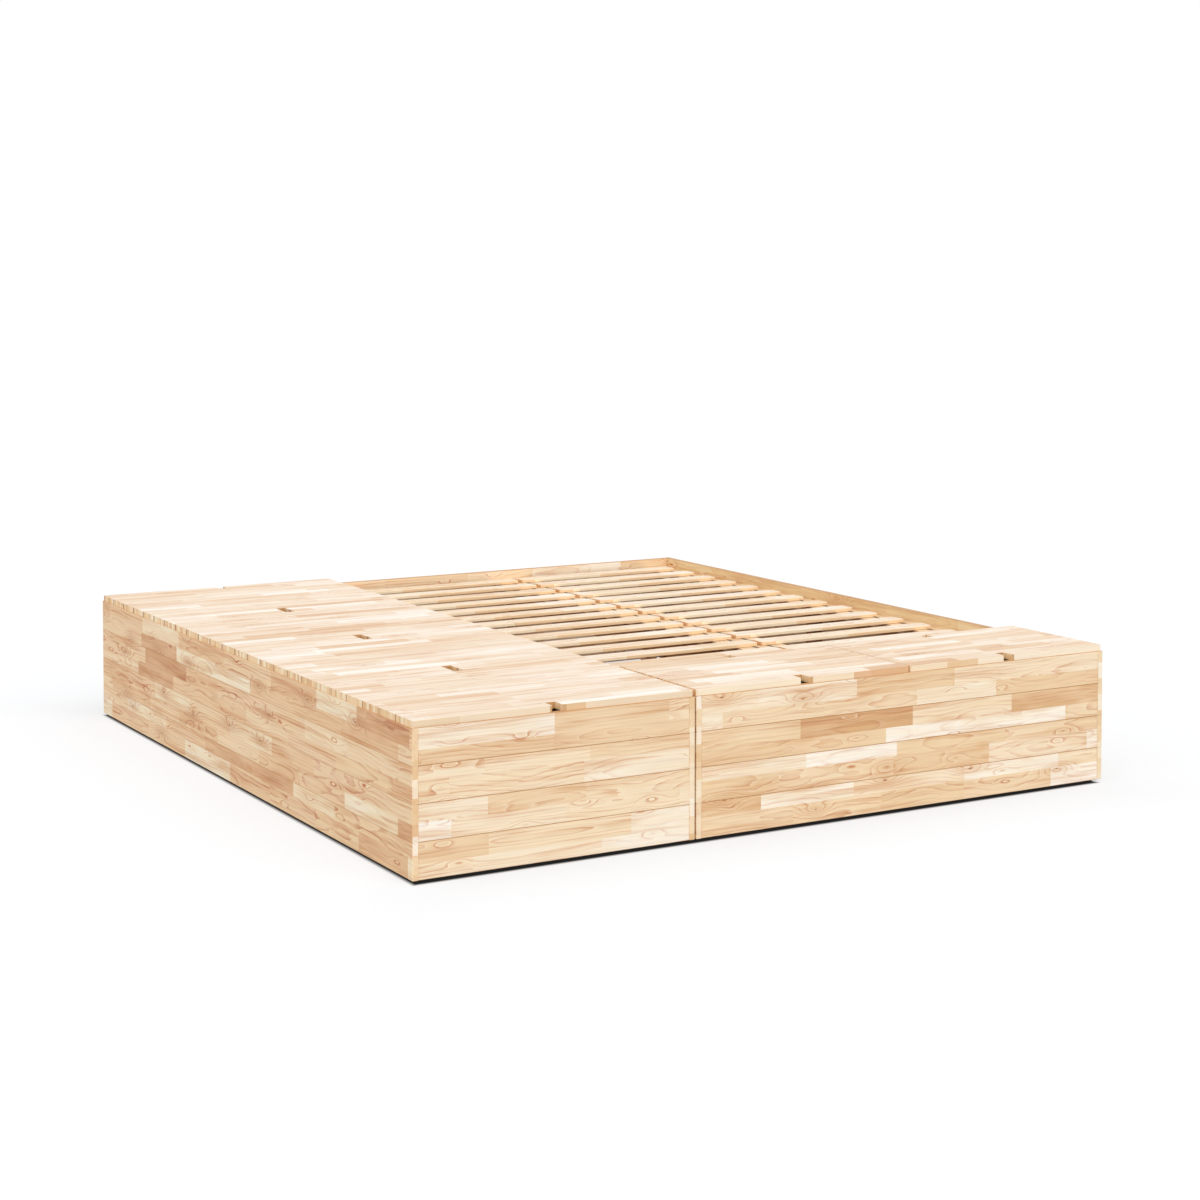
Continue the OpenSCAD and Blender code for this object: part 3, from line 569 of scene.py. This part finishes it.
# Lids: planks with rows of narrower staves, which don't keep to the planks
lidSettings = {
    "pair": 0.084,  # metres, two rows of staves
    "staveLength": 0.33,
    "planks": 6,  # in a lid of the side box
    "seamWidth": 0.009,
    "look": {
        "tones": [
            (0.00, "#E3BE99"), (0.07, "#EACCAA"), (0.16, "#EFD8BC"), (0.45, "#F3E0C8"), (0.70, "#F6E6D2"),
            (0.86, "#F9ECDC"), (0.90, "#FCF3E6"), (1.00, "#FDF6EC"),
        ],
        "drift": 0.06,
        "grooveWidth": 0.0,
        "grain": "#D9A679",
        "early": "#FFFAF0",
        "ringSpacing": 0.0070,
        "streak": "#E6BF98",
        "bumpShare": 0.04,
        "knotShare": 0.10,
        "bend": 0.010,
        "endTones": [(0.00, "#DEAA6C"), (0.30, "#F0C78F"), (0.65, "#F8D6A3"), (1.00, "#FFF2D2")],
        "endBar": 0.013,
        "endShare": 0.85,
    },
}
lidSettings["groups"] = {  # seed, changes to the look, and the tones along the long edges of each lid
    "side": (["side_lid_1", "side_lid_2", "side_lid_3", "side_lid_4"], 21, {},
             [[(0.00, "#EAD0AC"), (0.16, "#EFD8B9"), (0.47, "#C8965A"), (0.53, "#E0B682"),
               (0.60, "#ECD2B0")]]),
    "foot": (["foot_lid_left", "foot_lid_right"], 22,
             {"grain": "#CF9460",
              "tones": [(0.00, "#DDB68E"), (0.07, "#E6C6A2"), (0.16, "#EDD3B3"), (0.45, "#F1DBC0"),
                        (0.70, "#F4E1CA"), (0.86, "#F7E8D4"), (0.90, "#FBF0E0"), (1.00, "#FCF3E6")]},
             [[(0.00, "#F8E6C8"), (0.47, "#C8965A"), (0.53, "#F4DDBA"), (0.72, "#E0B082")],
              [(0.00, "#F6E0BE"), (0.18, "#E8C598"), (0.34, "#F8E6CA"), (0.47, "#C8965A"),
               (0.53, "#F8E8CE")]]),
}
sideLids = lidSettings["groups"]["side"][0]
plank = (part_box(sideLids[1])[0].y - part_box(sideLids[0])[0].y) / lidSettings["planks"]
for lids, seed, changes, edgeTones in lidSettings["groups"].values():
    low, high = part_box(lids[0])[0].x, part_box(lids[len(edgeTones) - 1])[1].x
    steps = [((lid + place) / len(edgeTones), tone)
             for lid, tones in enumerate(edgeTones) for place, tone in tones]
    look = dict(lidSettings["look"], seam=(plank, cadLow.y, lidSettings["seamWidth"]), **changes)
    look["edges"] = (low, high - low, steps)
    material = stavedWood("Oiled larch " + lids[0], {
        "along": "X", "across": "Y", "middle": middleOf(lids[0], "Z"), "pitch": lidSettings["pair"],
        "start": cadLow.y, "rows": 2, "length": lidSettings["staveLength"], "seed": seed,
    }, look)
    dress(material, *lids)
print("lids finished")

# Slats: one row of staves each, jointed at about the same places in every slat
slatSettings = {
    "count": 14,
    "width": 0.066,  # metres
    "staveLength": 0.40,
    # the edge tones change at the staves' joints, and are kept pale: painted light for the slats' fronts,
    # which sit in shade
    "columns": {  # seed, how far the joints are shifted, and the joints that show on the edges, in metres
        "slats_left": (31, 0.15, [(0.0, "#FFEBC8"), (0.190, "#F7D3A4")]),
        "slats_right": (33, 0.45, [(0.0, "#F1CDA0"), (0.050, "#FFEBC8"), (0.330, "#F7D3A4")]),
    },
    "look": {
        "tones": [
            (0.00, "#EBCDA8"), (0.20, "#F1D9B8"), (0.50, "#F6E4CA"), (0.80, "#FAEEDC"), (1.00, "#FDF6EA"),
        ],
        "drift": 0.12, "grain": "#D9A679", "early": "#FFFAF0", "streak": "#E6BF98", "ringSpacing": 0.0070,
        "grooveWidth": 0.0, "rowShift": 0.12, "lengthPlay": 0.5, "toneByPlace": 0.4, "knotShare": 0.1,
        "bumpShare": 0.0, "endTones": [(0.0, "#D89E62"), (1.0, "#E8B87E")], "endShare": 0.90,
    },
}
for name, (seed, shift, steps) in slatSettings["columns"].items():
    low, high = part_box(name)
    span = high.x - low.x
    pitch = (high.y - low.y - slatSettings["width"]) / (slatSettings["count"] - 1)
    look = dict(slatSettings["look"], firstShift=shift)
    look["edges"] = (low.x, span, [(place / span, tone) for place, tone in steps])
    material = stavedWood("Planed larch " + name, {
        "along": "X", "across": "Y", "middle": middleOf(name, "Z"), "pitch": pitch,
        "start": low.y - (pitch - slatSettings["width"]) / 2, "rows": 1,
        "length": slatSettings["staveLength"], "seed": seed,
    }, look)
    dress(material, name)
print("slats finished")

# Posts, battens, ledges and cleats: planed softwood from one length, with its own grain direction
plankSettings = {
    "look": {
        "tones": [(0.0, "#E2BC90"), (0.5, "#EBCBA2"), (1.0, "#F0D6B2")], "grooveWidth": 0.0, "endBar": 0.19,
        "endTones": [(0.0, "#D6AA78"), (1.0, "#E6C294")],
    },
    "firstSeed": 41,
    "pitch": 0.19,  # metres, as the next two: one stave is wider and longer than any of these pieces
    "start": 0.037,
    "length": 6.0,
    "paintedShadeTones": [(0.0, "#A46C34"), (0.5, "#B27A3E"), (1.0, "#C08B4C")],
    "paintedShadePieces": ["centre_beam", "ledge_battens", "bay_posts"],  # in dark heartwood tones, painted shade for the gaps between the slats, through which these pieces show
    "pieces": {
        "side_posts": "Z", "foot_posts": "Z", "bay_posts": "Z", "centre_legs": "Z",
        "side_divider_battens": "Z", "foot_divider_battens": "Z",
        "side_floor_battens": "Y", "foot_floor_battens": "X", "ledge_battens": "Y",
        "slat_ledges": "Y", "centre_cap": "Y", "centre_beam": "Y",
        "side_lid_1_cleats": "Y", "side_lid_2_cleats": "Y", "side_lid_3_cleats": "Y",
        "side_lid_4_cleats": "Y", "foot_lid_left_cleats": "Y", "foot_lid_right_cleats": "Y",
    },
}
for seed, (name, along) in enumerate(plankSettings["pieces"].items(), plankSettings["firstSeed"]):
    across, third = {"X": ("Y", "Z"), "Y": ("X", "Z"), "Z": ("X", "Y")}[along]
    look = dict(plankSettings["look"])
    # painted shade: the pieces seen through the gaps between the slats take the dark tones
    if name in plankSettings["paintedShadePieces"]:
        look["tones"] = plankSettings["paintedShadeTones"]
    material = stavedWood("Planed larch " + name, {
        "along": along, "across": across, "middle": middleOf(name, third), "pitch": plankSettings["pitch"],
        "start": plankSettings["start"], "rows": 1, "length": plankSettings["length"], "seed": seed,
    }, look)
    dress(material, name)
print("inner frame finished")

# Sheets and dividers: birch plywood, sanded. Its face veneer is peeled off the log, so the grain runs in
# broad waves, and its plies show as fine dark and pale lines on the edges.
sheetSettings = {
    "pieces": {  # axis through the thickness, axis along the face grain, plies
        "side_floor": ("Z", "Y", 7), "foot_floor": ("Z", "X", 7),
        "side_dividers": ("Y", "X", 9), "foot_divider": ("X", "Y", 9),
    },
    "thickness": {"side_floor": 0.009, "foot_floor": 0.009, "side_dividers": 0.012, "foot_divider": 0.012},
    "veneer": [(0.00, "#D9B98E"), (0.40, "#E6CDA6"), (0.70, "#EBD5B2"), (1.00, "#F0DFC2")],
    "plies": [(0.00, "#B98F5E"), (0.45, "#D9BC90"), (0.60, "#E8D2AC"), (1.00, "#EAD6B4")],
    "waveLength": 0.035,  # metres between the broad grain lines
    "waveTwist": 1.2,
    "stretch": 0.16,  # their width over their length
    "poreScale": 420.0,  # per metre
    "poreShare": 0.35,
    "grainSpan": (0.45, 0.90),
    "plySpan": (0.45, 0.55),  # of a pair of plies, where one colour goes over to the other
    "faceFrom": 0.7,  # surfaces that look this much through the sheet are its faces
    "rough": (0.62, 0.50),
    "relief": 0.0002,  # metres
}


def birchPlywood(name, through, along, plies):
    material, tree, shader = newMaterial("Birch plywood " + name)
    coords = addNode(tree, "ShaderNodeTexCoord")
    stretch = [sheetSettings["stretch"] if axis == along else 1.0 for axis in "XYZ"]
    place = addNode(tree, "ShaderNodeVectorMath", {0: coords.outputs["Object"], 1: stretch},
                    operation="MULTIPLY")
    wave = addNode(tree, "ShaderNodeTexNoise", {
        "Vector": place, "Scale": 1 / sheetSettings["waveLength"], "Detail": 4.0,
        "Distortion": sheetSettings["waveTwist"]})
    pores = addNode(tree, "ShaderNodeTexNoise", {
        "Vector": place, "Scale": sheetSettings["poreScale"], "Detail": 2.0})
    grain = compute(tree, "MULTIPLY_ADD", pores, sheetSettings["poreShare"], wave)
    grain = mapRange(tree, grain, sheetSettings["grainSpan"])
    veneer = addNode(tree, "ShaderNodeValToRGB", {0: grain}, stops=sheetSettings["veneer"])
    split = addNode(tree, "ShaderNodeSeparateXYZ", {0: coords.outputs["Object"]})
    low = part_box(name)[0]["XYZ".index(through)]
    pairs = plies / sheetSettings["thickness"][name] / 2  # of a dark and a pale ply, per metre
    depth = compute(tree, "MULTIPLY_ADD", split.outputs[through], pairs, -low * pairs)
    depth = compute(tree, "FRACT", depth)
    depth = mapRange(tree, depth, sheetSettings["plySpan"])
    ply = addNode(tree, "ShaderNodeValToRGB", {0: depth}, stops=sheetSettings["plies"])
    onFace = compute(tree, "GREATER_THAN", facingAxes(tree, coords)[through], sheetSettings["faceFrom"])
    colour = mixColours(tree, onFace, ply, veneer)
    rough = mapRange(tree, grain, wanted=sheetSettings["rough"])
    finishSurface(tree, shader, colour, rough, pores, sheetSettings["relief"])
    return material


for name, (through, along, plies) in sheetSettings["pieces"].items():
    dress(birchPlywood(name, through, along, plies), name)
print("plywood finished")

# Straps: woven polypropylene webbing, brown, with a slight shine on its ribs
strapSettings = {
    "ribs": 0.0022,  # metres. Real ribs are about 1 mm apart, too fine to show
    "waver": 0.4,
    "threads": 1.4,  # for each rib
    "tones": [(0.0, "#5A4634"), (1.0, "#8A7358")],
    "rough": (0.75, 0.5),
    "relief": 0.0003,  # metres
}
material, tree, shader = newMaterial("Woven polypropylene webbing")
coords = addNode(tree, "ShaderNodeTexCoord")
ribScale = waveScale(strapSettings["ribs"])
ribs = addNode(tree, "ShaderNodeTexWave", {
    "Vector": coords.outputs["Object"], "Scale": ribScale, "Distortion": strapSettings["waver"]},
    bands_direction="Y")
threads = addNode(tree, "ShaderNodeTexWave", {
    "Vector": coords.outputs["Object"], "Scale": ribScale * strapSettings["threads"]}, bands_direction="X")
weave = compute(tree, "MULTIPLY", ribs.outputs["Fac"], threads.outputs["Fac"])
colour = addNode(tree, "ShaderNodeValToRGB", {0: weave}, stops=strapSettings["tones"])
rough = mapRange(tree, weave, wanted=strapSettings["rough"])
finishSurface(tree, shader, colour.outputs[0], rough, weave, strapSettings["relief"])
dress(material, "slat_straps")
print("straps finished")

# Screws, bolts, nuts and washers: steel, zinc plated and passivated, a bluish grey with fine turning marks
steelSettings = {
    "tones": [(0.0, "#A9ADB0"), (0.5, "#BEC2C5"), (1.0, "#D0D3D5")],
    "marks": 0.0012,  # metres, size of the cloudy marks of the bath
    "markSpan": (0.3, 0.7),
    "rough": (0.24, 0.40),
    "relief": 0.00004,  # metres, as all the sizes below
    "sides": 24,
    "smoothUpTo": 35,  # degrees
    "chamfer": 0.0004,
    "screws": {  # height of the head, radius of the shank, length, width and depth of the bars of the cross
        "strap_screws": (0.0020, 0.0018, 0.0060, 0.0011, 0.0014),
        "batten_screws": (0.0030, 0.0025, 0.0056, 0.0012, 0.0020),
        "side_post_screws": (0.0030, 0.0025, 0.0056, 0.0012, 0.0020),
        "bed_post_screws": (0.0030, 0.0025, 0.0056, 0.0012, 0.0020),
    },
    "screwTip": 0.006,
    "tipShare": 0.15,  # of the shank, that the point has left
    "headHeight": 0.0052,  # of a bolt
    "boltRadius": 0.0040,
    "nutHole": 0.0041,
    "washerHole": 0.0044,
    "cornerCut": 0.0010,  # how far the corners of a head or nut are turned off
    "threadPitch": 0.00125,
    "threadDepth": 0.00055,
    "threadTurns": 13,
    "lap": 0.0005,  # how far a rod goes into its head
    "over": 0.001,  # how far a hole's cutter stands out
    "weld": 0.00001,  # corners closer than this are one
}
material, tree, shader = newMaterial("Zinc-plated steel")
coords = addNode(tree, "ShaderNodeTexCoord")
marks = addNode(tree, "ShaderNodeTexNoise", {
    "Vector": coords.outputs["Object"], "Scale": 1 / steelSettings["marks"], "Detail": 3.0})
colour = addNode(tree, "ShaderNodeValToRGB", {0: marks}, stops=steelSettings["tones"])
rough = mapRange(tree, marks, steelSettings["markSpan"], steelSettings["rough"])
finishSurface(tree, shader, colour.outputs[0], rough, marks, steelSettings["relief"])
shader.inputs["Metallic"].default_value = 1.0
steel = material


def solidsOf(name, flat=False):
    # for each solid of a node: the middle of its wider end, the way this end looks, its length and radius
    loose = nodes[name].copy()
    loose.data = loose.data.copy()
    scene.collection.objects.link(loose)
    bpy.ops.object.select_all(action="DESELECT")
    loose.select_set(True)
    bpy.context.view_layer.objects.active = loose
    bpy.ops.object.mode_set(mode="EDIT")
    bpy.ops.mesh.select_all(action="SELECT")
    bpy.ops.mesh.remove_doubles(threshold=steelSettings["weld"])
    bpy.ops.mesh.separate(type="LOOSE")
    bpy.ops.object.mode_set(mode="OBJECT")
    found = []
    for solid in list(bpy.context.selected_objects):
        points = [vertex.co.copy() for vertex in solid.data.vertices]
        low = Vector([min(point[i] for point in points) for i in range(3)])
        high = Vector([max(point[i] for point in points) for i in range(3)])
        size = high - low
        axis = list(size).index(min(size) if flat else max(size))
        across = [i for i in range(3) if i != axis]
        middle = (low + high) / 2
        widest = max(points, key=lambda point: math.hypot(*[point[i] - middle[i] for i in across]))
        outward = Vector((0, 0, 0))
        outward[axis] = 1 if widest[axis] > middle[axis] else -1
        radius = math.hypot(*[widest[i] - middle[i] for i in across])
        found.append((middle + outward * size[axis] / 2, outward, size[axis], radius))
        bpy.data.objects.remove(solid)
    return found


def addRound(sides, radius, low, high):
    # an upright bar about the origin, left in edit mode with nothing selected
    bpy.ops.object.select_all(action="DESELECT")
    bpy.ops.mesh.primitive_cylinder_add(vertices=sides, radius=radius, depth=high - low,
                                        location=(0, 0, (low + high) / 2))
    bpy.ops.object.transform_apply(location=True, rotation=False, scale=False)
    bpy.ops.object.mode_set(mode="EDIT")
    bpy.ops.mesh.select_mode(type="FACE")
    bpy.ops.mesh.select_all(action="DESELECT")
    return bpy.context.object


def pickEnd(piece, way):
    # selects the flat end of a bar that looks up, way 1, or down, way -1
    bpy.ops.mesh.select_all(action="DESELECT")
    bpy.ops.object.mode_set(mode="OBJECT")
    faces = [face for face in piece.data.polygons if face.normal.z * way > 0.9]
    max(faces, key=lambda face: face.center.z * way).select = True
    bpy.ops.object.mode_set(mode="EDIT")


def turnOff(piece, way, width, height):
    # chamfers an end, which grows by the height
    pickEnd(piece, way)
    bpy.ops.mesh.inset(thickness=width)
    bpy.ops.transform.translate(value=(0, 0, height * way))


def carve(piece, tool, how):
    modifier = piece.modifiers.new("carve", "BOOLEAN")
    modifier.operation = how
    modifier.solver = "EXACT"
    modifier.object = tool
    bpy.ops.object.select_all(action="DESELECT")
    piece.select_set(True)
    bpy.context.view_layer.objects.active = piece
    bpy.ops.object.modifier_apply(modifier="carve")
    bpy.data.objects.remove(tool)


def settle(template, spots, node):
    # one copy of the template at each spot, joined to one piece that stands for the node
    copies = []
    for place, outward, *_ in spots:
        copy = template.copy()
        copy.data = template.data.copy()
        scene.collection.objects.link(copy)
        copy.location = place
        copy.rotation_euler = outward.to_track_quat("Z", "Y").to_euler()
        copies.append(copy)
    bpy.data.objects.remove(template)
    bpy.ops.object.select_all(action="DESELECT")
    for copy in copies:
        copy.select_set(True)
    bpy.context.view_layer.objects.active = copies[0]
    bpy.ops.object.transform_apply(location=True, rotation=True, scale=True)
    bpy.ops.object.join()
    bpy.ops.object.shade_smooth_by_angle(angle=math.radians(steelSettings["smoothUpTo"]))
    piece = bpy.context.object
    piece.name = node.rstrip("s") + "_set"
    piece.data.materials.clear()
    piece.data.materials.append(steel)
    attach(piece, "frame")
    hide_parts(node)


def makeScrew(length, radius, headHeight, shank, barLength, barWidth, barDepth):
    chamfer = steelSettings["chamfer"]
    tip = steelSettings["screwTip"]
    screw = addRound(steelSettings["sides"], radius, -headHeight, -chamfer)
    turnOff(screw, 1, chamfer, chamfer)
    pickEnd(screw, -1)
    bpy.ops.mesh.inset(thickness=radius - shank)
    bpy.ops.mesh.extrude_region_move(TRANSFORM_OT_translate={"value": (0, 0, headHeight + tip - length)})
    bpy.ops.mesh.extrude_region_move(TRANSFORM_OT_translate={"value": (0, 0, -tip)})
    point = steelSettings["tipShare"]
    bpy.ops.transform.resize(value=(point, point, 1), center_override=(0, 0, -length))
    bpy.ops.object.mode_set(mode="OBJECT")
    for width, depth in ((barLength, barWidth), (barWidth, barLength)):
        bpy.ops.mesh.primitive_cube_add(size=1, location=(0, 0, 0), scale=(width, depth, 2 * barDepth))
        carve(screw, bpy.context.object, "DIFFERENCE")
    return screw


def turnedDisc(radius, low, high, ways):
    # a disc whose rims are turned off, which rounds the corners of a hexagon
    cut = steelSettings["cornerCut"]
    bottom = low + (cut / 2 if -1 in ways else 0)
    top = high - (cut / 2 if 1 in ways else 0)
    disc = addRound(2 * steelSettings["sides"], radius, bottom, top)
    for way in ways:
        turnOff(disc, way, cut, cut / 2)
    bpy.ops.object.mode_set(mode="OBJECT")
    return disc


def makeBolt(length, radius):
    headHeight, bar = steelSettings["headHeight"], steelSettings["boltRadius"]
    pitch, turns = steelSettings["threadPitch"], steelSettings["threadTurns"]
    core = 1 - steelSettings["threadDepth"] / bar
    bolt = addRound(6, radius, -headHeight, 0.0)
    bpy.ops.object.mode_set(mode="OBJECT")
    carve(bolt, turnedDisc(radius, -headHeight, 0.0, [1]), "INTERSECT")
    rod = addRound(steelSettings["sides"], bar, pitch * turns - length, -headHeight + steelSettings["lap"])
    pickEnd(rod, -1)
    for i in range(2 * turns):  # the thread, as rings: its helix is too fine to show
        bpy.ops.mesh.extrude_region_move(TRANSFORM_OT_translate={"value": (0, 0, -pitch / 2)})
        share = core if i % 2 == 0 else 1 / core
        if i == 2 * turns - 1:
            share = 1.0
        bpy.ops.transform.resize(value=(share, share, 1), center_override=(0, 0, 0))
    bpy.ops.object.mode_set(mode="OBJECT")
    carve(bolt, rod, "UNION")
    return bolt


def bore(piece, radius, length):
    # a hole through a piece that reaches from its top at 0 down by the length
    over = steelSettings["over"]
    hole = addRound(steelSettings["sides"], radius, -length - over, over)
    bpy.ops.object.mode_set(mode="OBJECT")
    carve(piece, hole, "DIFFERENCE")


def makeNut(length, radius):
    nut = addRound(6, radius, -length, 0.0)
    bpy.ops.object.mode_set(mode="OBJECT")
    carve(nut, turnedDisc(radius, -length, 0.0, [1, -1]), "INTERSECT")
    bore(nut, steelSettings["nutHole"], length)
    return nut


def makeWasher(length, radius):
    edge = length / 4
    washer = addRound(2 * steelSettings["sides"], radius, -length + edge, -edge)
    turnOff(washer, 1, edge, edge)
    turnOff(washer, -1, edge, edge)
    bpy.ops.object.mode_set(mode="OBJECT")
    bore(washer, steelSettings["washerHole"], length)
    return washer


for node, sizes in steelSettings["screws"].items():
    spots = solidsOf(node)
    settle(makeScrew(*spots[0][2:], *sizes), spots, node)
for node, make, flat in (("joining_bolts", makeBolt, False), ("joining_nuts", makeNut, True),
                         ("joining_washers", makeWasher, True)):
    spots = solidsOf(node, flat)
    settle(make(*spots[0][2:]), spots, node)
print("screws, bolts, nuts and washers modelled")

# Glides and spacers: moulded polyamide, dark, with the fine grain of its mould
plasticSettings = {
    "tones": [(0.0, "#2C2825"), (1.0, "#3F3A35")],
    "grain": 0.0009,  # metres
    "rough": (0.50, 0.38),
    "relief": 0.00008,  # metres
    "gloss": 1.53,  # IOR
    "pieces": ["joining_spacers", "side_glides", "bed_glides"],
}
material, tree, shader = newMaterial("Moulded polyamide")
coords = addNode(tree, "ShaderNodeTexCoord")
pebbles = addNode(tree, "ShaderNodeTexVoronoi", {
    "Vector": coords.outputs["Object"], "Scale": 1 / plasticSettings["grain"]})
colour = addNode(tree, "ShaderNodeValToRGB", {0: pebbles}, stops=plasticSettings["tones"])
rough = mapRange(tree, pebbles, wanted=plasticSettings["rough"])
finishSurface(tree, shader, colour.outputs[0], rough, pebbles, plasticSettings["relief"])
shader.inputs["IOR"].default_value = plasticSettings["gloss"]
dress(material, *plasticSettings["pieces"])
print("glides and spacers finished")
